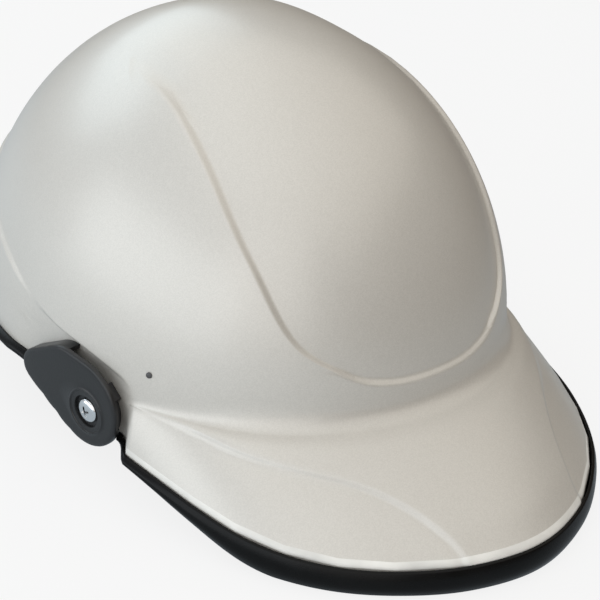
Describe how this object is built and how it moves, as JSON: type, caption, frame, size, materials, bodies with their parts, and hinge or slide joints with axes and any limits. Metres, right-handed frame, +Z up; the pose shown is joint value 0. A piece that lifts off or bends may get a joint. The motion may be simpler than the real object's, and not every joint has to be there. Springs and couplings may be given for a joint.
{
  "type": "jockey helmet",
  "caption": "Open-face cap helmet with a moulded peak, rubber edge trims, pivoted visor side plates, foam liner with comfort pads and a buckled chin strap.",
  "frame": {"origin": "middle of the head opening, below the widest girth of the dome, on the plane that the edge trims rest on", "axes": "+Z up, the peak points to -Y, the wearer's right is -X; mirror plane X = 0"},
  "size_m": [0.2468, 0.3525, 0.1745],
  "materials": {
    "shell_paint": "pearl silver clear coat on moulded plastic, glossy",
    "liner_foam": "bead foam, matte",
    "trim_rubber": "glossy black edging rubber",
    "plate_plastic": "black moulded plastic, satin gloss",
    "carrier_plastic": "black moulded plastic, fine grain",
    "chrome_metal": "plated steel, polished",
    "plain_steel": "zinc plated steel",
    "pad_cloth": "knitted lining cloth over soft foam",
    "webbing": "woven strap webbing",
    "buckle_plastic": "black moulded plastic, fine grain",
    "button_plastic": "red moulded plastic",
    "keeper_rubber": "matte rubber"
  },
  "bodies": {
    "helmet": {"outer_shell": "shell_paint", "impact_liner": "liner_foam", "peak_trim": "trim_rubber", "rear_trim": "trim_rubber", "side_plate_left": "plate_plastic", "side_plate_right": "plate_plastic", "plate_screws": "chrome_metal", "plate_nuts": "plain_steel", "anchor_rivets": "plain_steel", "anchor_spacers": "carrier_plastic", "lining_rivets": "plate_plastic", "crown_pad": "pad_cloth", "brow_pad": "pad_cloth", "temple_pad_left": "pad_cloth", "temple_pad_right": "pad_cloth", "nape_pad": "pad_cloth"},
    "carrier_left": {"carrier_left": "carrier_plastic"},
    "carrier_right": {"carrier_right": "carrier_plastic"},
    "strap_left": {"hanger_left": "plain_steel", "webbing_left": "webbing", "buckle_housing": "buckle_plastic", "buckle_cover": "buckle_plastic", "latch_spring": "plain_steel"},
    "strap_right": {"hanger_right": "plain_steel", "webbing_right": "webbing", "buckle_tongue": "plain_steel", "chin_pad": "pad_cloth"},
    "button": {"release_button": "button_plastic"},
    "latch": {"latch_bar": "plain_steel"},
    "slider": {"strap_slider": "buckle_plastic"},
    "keeper": {"strap_keeper": "keeper_rubber"}
  },
  "joints": [
    {"name": "carrier_left_turn", "type": "hinge", "parent": "helmet", "child": "carrier_left", "pos_m": [0.10987, -0.04781, 0.029], "axis": [-0.9848, 0.1736, 0], "range_deg": [0, 60]},
    {"name": "carrier_right_turn", "type": "hinge", "parent": "helmet", "child": "carrier_right", "pos_m": [-0.10987, -0.04781, 0.029], "axis": [-0.9848, -0.1736, 0], "range_deg": [0, 60]},
    {"name": "strap_left_swing", "type": "hinge", "parent": "helmet", "child": "strap_left", "pos_m": [0.10405, -0.022, 0.04], "axis": [1, 0, 0], "range_deg": [-90, 4]},
    {"name": "strap_right_swing", "type": "hinge", "parent": "helmet", "child": "strap_right", "pos_m": [-0.10405, -0.022, 0.04], "axis": [1, 0, 0], "range_deg": [-90, 4]},
    {"name": "button_press", "type": "slide", "parent": "strap_left", "child": "button", "axis": [-0.8221, -0.5524, 0.1377], "range_m": [0, 0.0026], "stiffness_N_per_m": 900},
    {"name": "latch_drop", "type": "slide", "parent": "strap_left", "child": "latch", "axis": [-0.8221, -0.5524, 0.1377], "range_m": [0, 0.0026], "stiffness_N_per_m": 900, "deforming": ["latch_spring"]},
    {"name": "slider_slide", "type": "slide", "parent": "strap_right", "child": "slider", "axis": [0.5693, 0.7977, -0.1989], "range_m": [-0.008, 0.008]},
    {"name": "keeper_slide", "type": "slide", "parent": "strap_right", "child": "keeper", "axis": [0.5693, 0.7977, -0.1989], "range_m": [-0.008, 0.008]}
  ],
  "couplings": [
    {"joint": "strap_right_swing", "follows": "strap_left_swing", "ratio": 1},
    {"joint": "latch_drop", "follows": "button_press", "ratio": 1}
  ]
}
